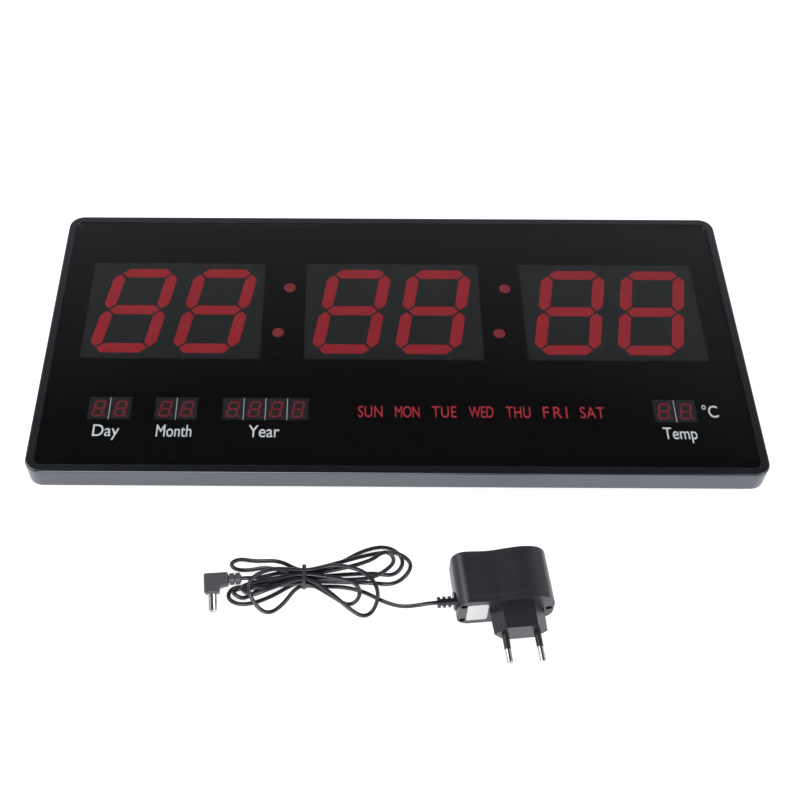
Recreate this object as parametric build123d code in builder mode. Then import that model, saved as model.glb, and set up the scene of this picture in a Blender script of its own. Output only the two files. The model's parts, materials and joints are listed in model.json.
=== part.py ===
from build123d import *
import math
import os

# A wall clock that shows the time, date, weekday and temperature, lying on its
# back with its mains adapter, the adapter's cord in a tied hank, and the cord's
# right-angle plug in front of it. Millimetres. +X is right, +Y the clock's top
# edge and +Z out of its display; Z = 0 is the surface that everything lies on.

os.makedirs("parts", exist_ok=True)

# --- driving dimensions: case ---
case_width = 460.0
case_height = 220.0
case_depth = 26.0
case_corner_radius = 10.0
front_edge_radius = 1.2
frame_side_depth = 15.3
frame_wall = 2.2
rim_width = 5.5
fit_clearance = 0.3

# --- lens and mask ---
lens_thickness = 3.0
lens_sink = 0.3
lens_clearance = 0.2
lens_corner_radius = 4.5
lens_edge_chamfer = 0.4
ledge_width = 2.5
ledge_thickness = 1.7
mask_thickness = 0.5

# --- rear cover ---
flange_thickness = 2.2
hump_width = 424.0
hump_height = 184.0
hump_corner_radius = 12.0
hump_edge_radius = 2.0
cover_wall = 2.2

# --- fasteners ---
boss_diameter = 6.4
case_screw_diameter = 2.9
case_screw_length = 9.0
case_screw_head_diameter = 5.6
case_screw_head_height = 2.0
board_screw_diameter = 2.5
board_screw_length = 6.0
board_screw_head_diameter = 4.6
board_screw_head_height = 1.4
screw_clearance = 0.1
hole_clearance = 0.4
case_screw_columns = 4
case_screw_pitch_x = 127.0
case_screw_pitch_y = 120.0

# --- big digits ---
window_width = 119.5
window_height = 86.0
window_pitch = 147.9
window_centre_y = 24.1
window_corner_radius = 2.0
module_margin = 0.4
module_thickness = 8.0
big_digit_pitch = 55.2
big_digit_width = 43.9
big_digit_height = 75.1
big_segment_width = 8.1
big_segment_gap = 2.1
big_pocket_depth = 1.2
digit_slant = 9.2
segment_clearance = 0.05

# --- colon lamps ---
colon_spacing = 40.2
colon_lamp_diameter = 8.0
colon_flange_diameter = 9.4
colon_flange_height = 1.2
colon_lamp_height = 7.4

# --- small digits ---
small_module_width = 13.4
small_module_height = 18.1
small_module_gap = 0.5
small_row_y = -59.5
small_digit_width = 7.6
small_digit_height = 12.8
small_segment_width = 1.5
small_segment_gap = 0.25
small_pocket_depth = 0.8
decimal_dot_diameter = 1.5
day_x = -182.6
month_x = -140.0
year_x = -83.0
temperature_x = 178.3

# --- weekday light box ---
weekday_count = 7
weekday_pitch = 23.5
weekday_first_x = -16.0
weekday_y = -61.4
weekday_cell_width = 20.0
weekday_cell_height = 11.0
light_box_wall = 1.5

# --- boards ---
board_thickness = 1.6
display_board_width = 418.0
display_board_height = 154.0
display_board_centre_y = 1.0
display_board_z = 12.4
pillar_diameter = 7.0
pillar_pitch_x = 195.0
pillar_low_y = -35.0
pillar_high_y = 72.5
control_board_width = 90.0
control_board_height = 36.0
control_board_x = 105.0
control_board_y = -48.0
control_board_z = 8.9
control_hole_inset = 3.5

# --- buttons on the back ---
button_names = ("set", "up", "down", "alarm")
button_pitch = 15.0
first_button_x = 72.0
button_y = -57.0
button_cap_diameter = 6.4
button_flange_diameter = 8.6
button_flange_thickness = 1.0
button_rod_diameter = 3.2
button_sink = 0.4
button_stroke = 0.8
button_clearance = 0.3
switch_size = 6.0
switch_height = 3.4
switch_floor = 0.7

# --- inlet for the plug ---
jack_x = 0.0
jack_axis_z = 6.0
jack_width = 9.0
jack_length = 13.8
jack_bottom_z = 2.3
jack_top_z = 11.3
jack_bore_diameter = 6.0
jack_bore_depth = 12.6
jack_pin_diameter = 2.0
jack_pin_length = 9.5
recess_left = -25.0
recess_right = 10.0
recess_depth_y = 18.0
recess_top_z = 10.9
recess_wall = 1.3

# --- keyhole slots ---
keyhole_spacing = 300.0
keyhole_y = 58.0
keyhole_entry_diameter = 8.0
keyhole_slot_width = 4.2
keyhole_slot_length = 8.0

# --- vents ---
vent_count = 9
vent_pitch = 5.0
vent_width = 2.0
vent_length = 24.0
vent_x = 150.0
vent_y = 10.0

# --- adapter ---
adapter_x = 61.6
adapter_y = -196.0
adapter_turn = 5.3
adapter_width = 56.6
adapter_depth = 34.0
adapter_height = 26.0
adapter_corner_radius = 8.0
adapter_crest = 1.6
adapter_trough = 0.9
adapter_back_radius = 1.6
adapter_wall = 2.0
adapter_front_depth = 4.0
adapter_board_width = 42.0
adapter_board_depth = 23.0
adapter_board_z = 7.0
nose_x = 6.5
nose_z = 12.4
nose_width = 31.8
nose_height = 15.4
nose_flat_width = 18.9
nose_length = 14.5
nose_taper = 1.5
nose_wall = 2.0
pin_spacing = 18.6
pin_length = 19.0
pin_diameter = 4.0
pin_neck_diameter = 3.2
pin_inner_length = 4.0
sleeve_length = 10.0
label_x = -16.7
label_z = 13.3
label_width = 12.2
label_height = 17.4
label_thickness = 0.3
well_diameter = 4.0
well_depth = 2.4
relief_y = 8.3
relief_z = 13.0
relief_flange_diameter = 10.6
relief_flange_thickness = 1.2
relief_rib_diameter = 6.7
relief_core_diameter = 4.2
relief_rib_count = 3
relief_rib_pitch = 3.15
relief_rib_thickness = 1.7
relief_inner_length = 5.0

# --- plug ---
plug_x = -110.6
plug_y = -175.3
plug_z = 9.0
plug_turn = 4.5
plug_tip_down = 20.0
plug_thickness = 8.4
plug_leg_width = 9.0
plug_leg_back = 3.9
plug_leg_front = 8.2
plug_side_reach = 10.0
plug_side_end_width = 7.6
plug_edge_radius = 1.2
barrel_diameter = 5.5
barrel_bore_diameter = 3.4
barrel_length = 10.5
barrel_root = 4.0
barrel_root_diameter = 4.7
barrel_tip_chamfer = 0.5
barrel_contact_diameter = 2.1
plug_rib_diameter = 7.0
plug_core_diameter = 4.6
plug_rib_count = 2
plug_rib_pitch = 3.5
plug_rib_thickness = 2.9
plug_core_tail = 0.6

# --- cord and hank ---
cord_diameter = 2.5
cord_spacing = 2.95
tie_x = -56.0
tie_y = -170.5
tie_width = 2.2
tie_thickness = 0.8
tie_clearance = 0.05
waist_length = 8.0
floor_gap = 0.05
cord_stub_length = 3.4
hank_lead_length = 2.5
hank_tail_length = 8.0
least_hank_gap = 0.4

# --- heights worked out from the sizes above ---
lens_top = case_depth - lens_sink
lens_bottom = lens_top - lens_thickness
mask_bottom = lens_bottom - mask_thickness
ledge_bottom = mask_bottom - ledge_thickness
frame_bottom = case_depth - frame_side_depth
flange_top = frame_bottom + flange_thickness
board_top = display_board_z + board_thickness
control_board_top = control_board_z + board_thickness
module_top = board_top + module_thickness

# --- outlines worked out from the sizes above ---
lens_width = case_width - 2 * rim_width
lens_height = case_height - 2 * rim_width
opening_width = lens_width - 2 * ledge_width
opening_height = lens_height - 2 * ledge_width
inner_width = case_width - 2 * frame_wall
inner_height = case_height - 2 * frame_wall
inner_radius = case_corner_radius - frame_wall
flange_width = inner_width - 2 * fit_clearance
flange_height = inner_height - 2 * fit_clearance
hump_inner_width = hump_width - 2 * cover_wall
hump_inner_height = hump_height - 2 * cover_wall
boss_x = inner_width / 2 - boss_diameter / 2
boss_y = inner_height / 2 - boss_diameter / 2
recess_mouth_y = -hump_height / 2
recess_back_y = recess_mouth_y + recess_depth_y
jack_front_y = recess_back_y + recess_wall

case_screw_points = [
    ((column - (case_screw_columns - 1) / 2) * case_screw_pitch_x, side * boss_y)
    for column in range(case_screw_columns)
    for side in (-1, 1)
] + [(side * boss_x, row * case_screw_pitch_y / 2) for side in (-1, 1) for row in (-1, 1)]

pillar_points = [
    (column * pillar_pitch_x, y) for column in (-1, 0, 1) for y in (pillar_low_y, pillar_high_y)
]

control_hole_points = [
    (
        control_board_x + side * (control_board_width / 2 - control_hole_inset),
        control_board_y + row * (control_board_height / 2 - control_hole_inset),
    )
    for side in (-1, 1)
    for row in (-1, 1)
]

button_points = [
    (first_button_x + index * button_pitch, button_y) for index in range(len(button_names))
]

window_centres = [(column * window_pitch, window_centre_y) for column in (-1, 0, 1)]

small_pitch = small_module_width + small_module_gap


def row_of(centre_x, count):
    """Centres of a row of small digit modules."""
    first = centre_x - (count - 1) / 2 * small_pitch
    return [(first + index * small_pitch, small_row_y) for index in range(count)]


calendar_points = row_of(day_x, 2) + row_of(month_x, 2) + row_of(year_x, 4)
temperature_points = row_of(temperature_x, 2)

colon_lean = colon_spacing / 2 * math.tan(math.radians(digit_slant))
colon_points = [
    (side * window_pitch / 2 + row * colon_lean, window_centre_y + row * colon_spacing / 2)
    for side in (-1, 1)
    for row in (-1, 1)
]

weekday_points = [
    (weekday_first_x + index * weekday_pitch, weekday_y) for index in range(weekday_count)
]


def finish(node, label):
    """Names a finished piece and writes it."""
    node.part.label = label
    export_step(node.part, f"parts/{label}.step")


def tube(points, bends, diameter):
    """A round tube through the given points, with a bend of its own at each corner."""
    with BuildPart() as round_tube:
        with BuildLine():
            route = FilletPolyline(*points, radius=bends)
        with BuildSketch(Plane(origin=route @ 0, z_dir=route % 0)):
            Circle(diameter / 2)
        sweep(path=route)
    return round_tube


# --- seven-segment figures ---


def slanted(x, y):
    """A point of an upright figure, leaned over by the digits' slant."""
    return (x + y * math.tan(math.radians(digit_slant)), y)


def bar_outline(centre, length, width, upright, shrink):
    """The six corners of one segment, pointed at both ends."""
    half = length / 2 - shrink
    side = width / 2 - shrink
    corners = [(-half, 0), (-half + side, side), (half - side, side)]
    corners += [(half, 0), (half - side, -side), (-half + side, -side)]
    if upright:
        corners = [(y, x) for x, y in corners]
    return [slanted(centre[0] + x, centre[1] + y) for x, y in corners]


def figure_eight(width, height, bar, gap, shrink=0.0):
    """The outlines of a figure's seven segments."""
    across = width - bar
    rise = (height - bar) / 2
    outlines = []
    for level in (-1, 0, 1):
        outlines.append(bar_outline((0, level * rise), across - gap, bar, False, shrink))
    for level in (-1, 1):
        for side in (-1, 1):
            centre = (side * across / 2, level * rise / 2)
            outlines.append(bar_outline(centre, rise - gap, bar, True, shrink))
    return outlines


big_centres = [(side * big_digit_pitch / 2, 0) for side in (-1, 1)]
big_figure = figure_eight(big_digit_width, big_digit_height, big_segment_width, big_segment_gap)
big_inlay = figure_eight(
    big_digit_width, big_digit_height, big_segment_width, big_segment_gap, segment_clearance
)
small_figure = figure_eight(
    small_digit_width, small_digit_height, small_segment_width, small_segment_gap
)
small_inlay = figure_eight(
    small_digit_width, small_digit_height, small_segment_width, small_segment_gap, segment_clearance
)
decimal_dot = slanted(small_digit_width / 2 + decimal_dot_diameter * 0.8, -small_digit_height / 2)
decimal_point = (decimal_dot[0], decimal_dot[1] + decimal_dot_diameter / 2)


# --- case ---

with BuildPart() as front_frame:
    with BuildSketch(Plane.XY.offset(frame_bottom)):
        RectangleRounded(case_width, case_height, case_corner_radius)
    extrude(amount=frame_side_depth)
    fillet(front_frame.faces().sort_by(Axis.Z)[-1].edges(), front_edge_radius)
    with BuildSketch(Plane.XY.offset(case_depth)):
        RectangleRounded(
            lens_width + 2 * lens_clearance,
            lens_height + 2 * lens_clearance,
            lens_corner_radius + lens_clearance,
        )
    extrude(amount=-(lens_thickness + lens_sink + mask_thickness), mode=Mode.SUBTRACT)
    with BuildSketch(Plane.XY.offset(mask_bottom)):
        RectangleRounded(opening_width, opening_height, lens_corner_radius)
    extrude(amount=-ledge_thickness, mode=Mode.SUBTRACT)
    with BuildSketch(Plane.XY.offset(frame_bottom)):
        RectangleRounded(inner_width, inner_height, inner_radius)
    extrude(amount=ledge_bottom - frame_bottom, mode=Mode.SUBTRACT)
    with BuildSketch(Plane.XY.offset(flange_top)):
        with Locations(*case_screw_points):
            Circle(boss_diameter / 2)
    extrude(amount=ledge_bottom - flange_top)
    with BuildSketch(Plane.XY.offset(flange_top)):
        with Locations(*case_screw_points):
            Circle((case_screw_diameter + screw_clearance) / 2)
    extrude(amount=case_screw_length - flange_thickness + 0.5, mode=Mode.SUBTRACT)
finish(front_frame, "front_frame")

with BuildPart() as display_lens:
    with BuildSketch(Plane.XY.offset(lens_bottom)):
        RectangleRounded(lens_width, lens_height, lens_corner_radius)
    extrude(amount=lens_thickness)
    chamfer(display_lens.faces().sort_by(Axis.Z)[-1].edges(), lens_edge_chamfer)
finish(display_lens, "display_lens")

with BuildPart() as display_mask:
    with BuildSketch(Plane.XY.offset(mask_bottom)):
        RectangleRounded(lens_width, lens_height, lens_corner_radius)
        with Locations(*window_centres):
            RectangleRounded(window_width, window_height, window_corner_radius, mode=Mode.SUBTRACT)
        with Locations(*colon_points):
            Circle(colon_lamp_diameter / 2, mode=Mode.SUBTRACT)
        for centre_x, count in ((day_x, 2), (month_x, 2), (year_x, 4), (temperature_x, 2)):
            with Locations((centre_x, small_row_y)):
                Rectangle(count * small_pitch, small_module_height, mode=Mode.SUBTRACT)
    extrude(amount=mask_thickness)
finish(display_mask, "display_mask")

# --- rear cover ---

with BuildPart() as rear_cover:
    with BuildSketch(Plane.XY):
        RectangleRounded(hump_width, hump_height, hump_corner_radius)
    extrude(amount=flange_top)
    fillet(rear_cover.faces().sort_by(Axis.Z)[0].edges(), hump_edge_radius)
    with BuildSketch(Plane.XY.offset(frame_bottom)):
        RectangleRounded(flange_width, flange_height, inner_radius - fit_clearance)
    extrude(amount=flange_thickness)
    with BuildSketch(Plane.XY.offset(cover_wall)):
        RectangleRounded(hump_inner_width, hump_inner_height, hump_corner_radius - cover_wall)
    extrude(amount=flange_top - cover_wall, mode=Mode.SUBTRACT)
    # the recess round the plug's inlet, open to the back and to the lower edge
    with BuildSketch(Plane.XY):
        with Locations(((recess_left + recess_right) / 2, (recess_mouth_y + jack_front_y) / 2)):
            Rectangle(recess_right - recess_left + 2 * recess_wall, jack_front_y - recess_mouth_y)
    extrude(amount=recess_top_z + recess_wall)
    with BuildSketch(Plane.XY):
        with Locations(((recess_left + recess_right) / 2, (recess_mouth_y + recess_back_y) / 2)):
            Rectangle(recess_right - recess_left, recess_depth_y)
    extrude(amount=recess_top_z, mode=Mode.SUBTRACT)
    with BuildSketch(Plane.XZ.offset(-recess_back_y)):
        with Locations((jack_x, jack_axis_z)):
            Circle(jack_bore_diameter / 2)
    extrude(amount=-recess_wall, mode=Mode.SUBTRACT)
    # pillars and bosses for the boards
    with BuildSketch(Plane.XY.offset(cover_wall)):
        with Locations(*pillar_points):
            Circle(pillar_diameter / 2)
    extrude(amount=display_board_z - cover_wall)
    with BuildSketch(Plane.XY.offset(cover_wall)):
        with Locations(*control_hole_points):
            Circle(boss_diameter / 2)
    extrude(amount=control_board_z - cover_wall)
    with BuildSketch(Plane.XY.offset(display_board_z)):
        with Locations(*pillar_points):
            Circle((board_screw_diameter + screw_clearance) / 2)
    extrude(amount=-board_screw_length, mode=Mode.SUBTRACT)
    with BuildSketch(Plane.XY.offset(control_board_z)):
        with Locations(*control_hole_points):
            Circle((board_screw_diameter + screw_clearance) / 2)
    extrude(amount=-board_screw_length, mode=Mode.SUBTRACT)
    # holes through the flange, the buttons' holes, keyholes and vents
    with BuildSketch(Plane.XY.offset(frame_bottom)):
        with Locations(*case_screw_points):
            Circle((case_screw_diameter + hole_clearance) / 2)
    extrude(amount=flange_thickness, mode=Mode.SUBTRACT)
    with BuildSketch(Plane.XY):
        with Locations(*button_points):
            Circle(button_cap_diameter / 2 + button_clearance)
        with Locations((-keyhole_spacing / 2, keyhole_y), (keyhole_spacing / 2, keyhole_y)):
            Circle(keyhole_entry_diameter / 2)
        with Locations(
            (-keyhole_spacing / 2, keyhole_y + keyhole_slot_length / 2),
            (keyhole_spacing / 2, keyhole_y + keyhole_slot_length / 2),
        ):
            SlotCenterToCenter(keyhole_slot_length, keyhole_slot_width, rotation=90)
        with Locations((-vent_x, vent_y), (vent_x, vent_y)):
            with GridLocations(vent_pitch, 1, vent_count, 1):
                SlotOverall(vent_length, vent_width, rotation=90)
    extrude(amount=cover_wall, mode=Mode.SUBTRACT)
finish(rear_cover, "rear_cover")

with BuildPart() as case_screws:
    with BuildSketch(Plane.XY.offset(frame_bottom - case_screw_head_height)):
        with Locations(*case_screw_points):
            Circle(case_screw_head_diameter / 2)
    extrude(amount=case_screw_head_height)
    with BuildSketch(Plane.XY.offset(frame_bottom)):
        with Locations(*case_screw_points):
            Circle(case_screw_diameter / 2)
    extrude(amount=case_screw_length)
finish(case_screws, "case_screws")

# --- display board and what stands on it ---

with BuildPart() as display_board:
    with BuildSketch(Plane.XY.offset(display_board_z)):
        with Locations((0, display_board_centre_y)):
            Rectangle(display_board_width, display_board_height)
        with Locations(*pillar_points):
            Circle((board_screw_diameter + hole_clearance) / 2, mode=Mode.SUBTRACT)
    extrude(amount=board_thickness)
finish(display_board, "display_board")


def big_module(centre):
    """A double-digit module: a block with a pocket for each segment."""
    with BuildPart() as module:
        with BuildSketch(Plane.XY.offset(board_top)):
            with Locations(centre):
                Rectangle(window_width + 2 * module_margin, window_height + 2 * module_margin)
        extrude(amount=module_thickness)
        with BuildSketch(Plane.XY.offset(module_top)):
            with Locations(centre):
                with Locations(*big_centres):
                    for outline in big_figure:
                        Polygon(*outline, align=None)
        extrude(amount=-big_pocket_depth, mode=Mode.SUBTRACT)
    return module


def big_segments(centre):
    """The fourteen coloured segments of a double-digit module."""
    with BuildPart() as segments:
        with BuildSketch(Plane.XY.offset(module_top - big_pocket_depth)):
            with Locations(centre):
                with Locations(*big_centres):
                    for outline in big_inlay:
                        Polygon(*outline, align=None)
        extrude(amount=big_pocket_depth)
    return segments


for unit, window in zip(("hours", "minutes", "seconds"), window_centres):
    finish(big_module(window), f"{unit}_module")
    finish(big_segments(window), f"{unit}_segments")


def small_modules(points):
    """Single-digit modules with their segment pockets."""
    with BuildPart() as modules:
        with BuildSketch(Plane.XY.offset(board_top)):
            with Locations(*points):
                Rectangle(small_module_width, small_module_height)
        extrude(amount=module_thickness)
        with BuildSketch(Plane.XY.offset(module_top)):
            with Locations(*points):
                for outline in small_figure:
                    Polygon(*outline, align=None)
                with Locations(decimal_point):
                    Circle(decimal_dot_diameter / 2)
        extrude(amount=-small_pocket_depth, mode=Mode.SUBTRACT)
    return modules


def small_segments(points):
    """The coloured segments and points of single-digit modules."""
    with BuildPart() as segments:
        with BuildSketch(Plane.XY.offset(module_top - small_pocket_depth)):
            with Locations(*points):
                for outline in small_inlay:
                    Polygon(*outline, align=None)
                with Locations(decimal_point):
                    Circle(decimal_dot_diameter / 2 - segment_clearance)
        extrude(amount=small_pocket_depth)
    return segments


finish(small_modules(calendar_points), "calendar_modules")
finish(small_segments(calendar_points), "calendar_segments")
finish(small_modules(temperature_points), "temperature_modules")
finish(small_segments(temperature_points), "temperature_segments")

with BuildPart() as colon_lamps:
    with BuildSketch(Plane.XY.offset(board_top)):
        with Locations(*colon_points):
            Circle(colon_flange_diameter / 2)
    extrude(amount=colon_flange_height)
    with BuildSketch(Plane.XY.offset(board_top)):
        with Locations(*colon_points):
            Circle(colon_lamp_diameter / 2 - fit_clearance)
    extrude(amount=colon_lamp_height)
    fillet(colon_lamps.faces().filter_by(Plane.XY).group_by(Axis.Z)[-1].edges(), colon_lamp_diameter / 4)
finish(colon_lamps, "colon_lamps")

with BuildPart() as weekday_light_box:
    with BuildSketch(Plane.XY.offset(board_top)):
        with Locations((weekday_first_x + (weekday_count - 1) / 2 * weekday_pitch, weekday_y)):
            Rectangle(
                (weekday_count - 1) * weekday_pitch + weekday_cell_width + 2 * light_box_wall,
                weekday_cell_height + 2 * light_box_wall,
            )
        with Locations(*weekday_points):
            Rectangle(weekday_cell_width, weekday_cell_height, mode=Mode.SUBTRACT)
    extrude(amount=module_thickness)
finish(weekday_light_box, "weekday_light_box")

with BuildPart() as weekday_leds:
    with BuildSketch(Plane.XY.offset(board_top)):
        with Locations(*weekday_points):
            Rectangle(5.0, 3.0)
    extrude(amount=1.9)
finish(weekday_leds, "weekday_leds")

driver_chip_points = [(x, 0) for x in (-150, -50, 50, 150)]

with BuildPart() as driver_chips:
    with BuildSketch(Plane.XY.offset(display_board_z)):
        with Locations(*driver_chip_points):
            Rectangle(15.4, 7.5)
    extrude(amount=-1.5)
finish(driver_chips, "driver_chips")

# --- control board ---

with BuildPart() as control_board:
    with BuildSketch(Plane.XY.offset(control_board_z)):
        with Locations((control_board_x, control_board_y)):
            Rectangle(control_board_width, control_board_height)
        with Locations(*control_hole_points):
            Circle((board_screw_diameter + hole_clearance) / 2, mode=Mode.SUBTRACT)
    extrude(amount=board_thickness)
finish(control_board, "control_board")

with BuildPart() as board_screws:
    for points, top in ((pillar_points, board_top), (control_hole_points, control_board_top)):
        with BuildSketch(Plane.XY.offset(top)):
            with Locations(*points):
                Circle(board_screw_head_diameter / 2)
        extrude(amount=board_screw_head_height)
        with BuildSketch(Plane.XY.offset(top)):
            with Locations(*points):
                Circle(board_screw_diameter / 2)
        extrude(amount=-board_screw_length)
finish(board_screws, "board_screws")

switch_bottom = control_board_z - switch_height

with BuildPart() as tact_switches:
    with BuildSketch(Plane.XY.offset(switch_bottom)):
        with Locations(*button_points):
            Rectangle(switch_size, switch_size)
    extrude(amount=switch_height)
    with BuildSketch(Plane.XY.offset(switch_bottom)):
        with Locations(*button_points):
            Circle(button_rod_diameter / 2 + button_clearance)
    extrude(amount=switch_height - switch_floor, mode=Mode.SUBTRACT)
finish(tact_switches, "tact_switches")

button_flange_z = cover_wall + button_clearance
button_rod_top = switch_bottom + switch_height - switch_floor - button_stroke - button_clearance


def button(point):
    """A push button: cap, the flange that keeps it in and the rod into its switch."""
    with BuildPart() as cap:
        with BuildSketch(Plane.XY.offset(button_sink)):
            with Locations(point):
                Circle(button_cap_diameter / 2)
        extrude(amount=button_flange_z - button_sink)
        fillet(cap.edges().sort_by(Axis.Z)[0], button_clearance)
        with BuildSketch(Plane.XY.offset(button_flange_z)):
            with Locations(point):
                Circle(button_flange_diameter / 2)
        extrude(amount=button_flange_thickness)
        with BuildSketch(Plane.XY.offset(button_flange_z)):
            with Locations(point):
                Circle(button_rod_diameter / 2)
        extrude(amount=button_rod_top - button_flange_z)
    return cap


for name, point in zip(button_names, button_points):
    finish(button(point), f"button_{name}")

controller_point = (control_board_x - 13, control_board_y + 4)
clock_chip_point = (control_board_x + 8, control_board_y + 4)
cell_point = (control_board_x + 31, control_board_y + 2)
buzzer_point = (control_board_x - 34, control_board_y + 9)
capacitor_point = (control_board_x - 15, control_board_y + 9)
supply_plug_x = control_board_x - control_board_width / 2 + 4

with BuildPart() as controller_chip:
    with BuildSketch(Plane.XY.offset(control_board_top)):
        with Locations(controller_point):
            Rectangle(12, 12)
    extrude(amount=1.5)
finish(controller_chip, "controller_chip")

with BuildPart() as clock_chip:
    with BuildSketch(Plane.XY.offset(control_board_top)):
        with Locations(clock_chip_point):
            Rectangle(10.3, 7.5)
    extrude(amount=1.5)
finish(clock_chip, "clock_chip")

cell_diameter = 20.0
cell_thickness = 3.2
holder_wall = 1.2

with BuildPart() as cell_holder:
    with BuildSketch(Plane.XY.offset(control_board_z)):
        with Locations(cell_point):
            Circle(cell_diameter / 2 + holder_wall)
    extrude(amount=-(cell_thickness + holder_wall))
    with BuildSketch(Plane.XY.offset(control_board_z - holder_wall)):
        with Locations(cell_point):
            Circle(cell_diameter / 2 + button_clearance)
    extrude(amount=-cell_thickness, mode=Mode.SUBTRACT)
finish(cell_holder, "cell_holder")

with BuildPart() as coin_cell:
    with BuildSketch(Plane.XY.offset(control_board_z - holder_wall)):
        with Locations(cell_point):
            Circle(cell_diameter / 2)
    extrude(amount=-cell_thickness)
finish(coin_cell, "coin_cell")

with BuildPart() as buzzer:
    with BuildSketch(Plane.XY.offset(control_board_z)):
        with Locations(buzzer_point):
            Circle(6.0)
    extrude(amount=-6.0)
    with BuildSketch(Plane.XY.offset(control_board_z - 6.0)):
        with Locations(buzzer_point):
            Circle(1.0)
    extrude(amount=2.0, mode=Mode.SUBTRACT)
finish(buzzer, "buzzer")

with BuildPart() as supply_capacitor:
    with BuildSketch(Plane.XY.offset(control_board_z)):
        with Locations(capacitor_point):
            Circle(4.0)
    extrude(amount=-5.8)
finish(supply_capacitor, "supply_capacitor")

header_x = control_board_x
header_y = control_board_y + control_board_height / 2 - 6

with BuildPart() as board_header:
    with BuildSketch(Plane.XY.offset(control_board_top)):
        with Locations((header_x, header_y)):
            Rectangle(25.4, 2.5)
    extrude(amount=display_board_z - control_board_top)
finish(board_header, "board_header")

sensor_point = (vent_x + 38, vent_y - 30)

with BuildPart() as temperature_sensor:
    with BuildSketch(Plane.XY.offset(display_board_z - 7.6)):
        with Locations(sensor_point):
            Circle(2.3)
            with Locations((0, -2.3)):
                Rectangle(4.6, 1.4, mode=Mode.SUBTRACT)
    extrude(amount=4.6)
    with BuildSketch(Plane.XY.offset(display_board_z)):
        with Locations(sensor_point):
            with GridLocations(1.27, 1, 3, 1):
                Rectangle(0.5, 0.5)
    extrude(amount=-3.0)
finish(temperature_sensor, "temperature_sensor")

# --- inlet ---

jack_plane = Plane(origin=(jack_x, jack_front_y, jack_axis_z), x_dir=(-1, 0, 0), z_dir=(0, 1, 0))

with BuildPart() as jack_housing:
    with BuildSketch(Plane(origin=(jack_x, jack_front_y, 0), x_dir=(-1, 0, 0), z_dir=(0, 1, 0))):
        with Locations((0, (jack_bottom_z + jack_top_z) / 2)):
            Rectangle(jack_width, jack_top_z - jack_bottom_z)
    extrude(amount=jack_length)
    with BuildSketch(jack_plane):
        Circle(jack_bore_diameter / 2)
    extrude(amount=jack_bore_depth - recess_wall, mode=Mode.SUBTRACT)
finish(jack_housing, "jack_housing")

jack_bore_end = jack_bore_depth - recess_wall

with BuildPart() as jack_pin:
    with BuildSketch(jack_plane.offset(jack_bore_end)):
        Circle(jack_pin_diameter / 2)
    extrude(amount=-jack_pin_length)
    fillet(jack_pin.edges().sort_by(Axis.Y)[0], jack_pin_diameter / 4)
finish(jack_pin, "jack_pin")

# --- wires from the inlet to the control board ---

wire_diameter = 1.5
wire_spacing = 2.6
wire_bend = 6.0
jack_rear_y = jack_front_y + jack_length
supply_plug_y = jack_rear_y + 8.0

with BuildPart() as supply_plug:
    with BuildSketch(Plane.XY.offset(control_board_z)):
        with Locations((supply_plug_x, supply_plug_y)):
            Rectangle(6.0, 8.0)
    extrude(amount=-5.6)
finish(supply_plug, "supply_plug")


def supply_wire(side):
    """One wire from the inlet's rear to the connector on the control board."""
    start = (jack_x - side * wire_spacing / 2, jack_rear_y, jack_axis_z)
    corner = (jack_x - side * wire_spacing / 2, supply_plug_y + side * wire_spacing / 2, jack_axis_z)
    end = (supply_plug_x - 3.0, supply_plug_y + side * wire_spacing / 2, jack_axis_z)
    return tube((start, corner, end), (wire_bend,), wire_diameter)


finish(supply_wire(1), "positive_wire")
finish(supply_wire(-1), "negative_wire")

# --- adapter ---

adapter_across = Vector(1, 0, 0).rotate(Axis.Z, adapter_turn)
adapter_inward = Vector(0, 1, 0).rotate(Axis.Z, adapter_turn)


def adapter_plane(depth=0.0):
    """An upright plane across the adapter, seen from its pins, some depth behind its face."""
    origin = Vector(adapter_x, adapter_y, 0) + adapter_inward * depth
    return Plane(origin=origin, x_dir=adapter_across, z_dir=-adapter_inward)


def adapter_place(x, y, z):
    """A point given across, behind and above the foot of the adapter's face."""
    return Vector(adapter_x, adapter_y, z) + adapter_across * x + adapter_inward * y


def adapter_outline(inset=0.0):
    """The adapter's section: round ends, a flat base and a top that waves up over the pins."""
    half = adapter_width / 2 - inset
    radius = adapter_corner_radius - inset
    base = inset
    top = adapter_height - inset
    trough = (-adapter_width * 0.14, top - adapter_trough)
    crest = (adapter_width * 0.27, top + adapter_crest)
    left_start = (-half + radius, top)
    right_end = (half - radius * 0.8, top)
    with BuildLine() as outline:
        Spline(left_start, trough, crest, right_end, tangents=((1, 0), (1, -0.45)))
        right_arc = TangentArc(right_end, (half, top - radius * 1.15), tangent=(1, -0.45))
        Line(right_arc @ 1, (half, base + radius))
        RadiusArc((half, base + radius), (half - radius, base), radius)
        Line((half - radius, base), (-half + radius, base))
        RadiusArc((-half + radius, base), (-half, base + radius), radius)
        Line((-half, base + radius), (-half, top - radius))
        RadiusArc((-half, top - radius), left_start, radius)
    return outline


def nose_outline(inset=0.0):
    """The six-sided section of the adapter's nose."""
    half = nose_width / 2 - inset * 1.25
    flat = nose_flat_width / 2 - inset * 0.5
    rise = nose_height / 2 - inset
    return [(-half, 0), (-flat, rise), (flat, rise), (half, 0), (flat, -rise), (-flat, -rise)]


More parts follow.
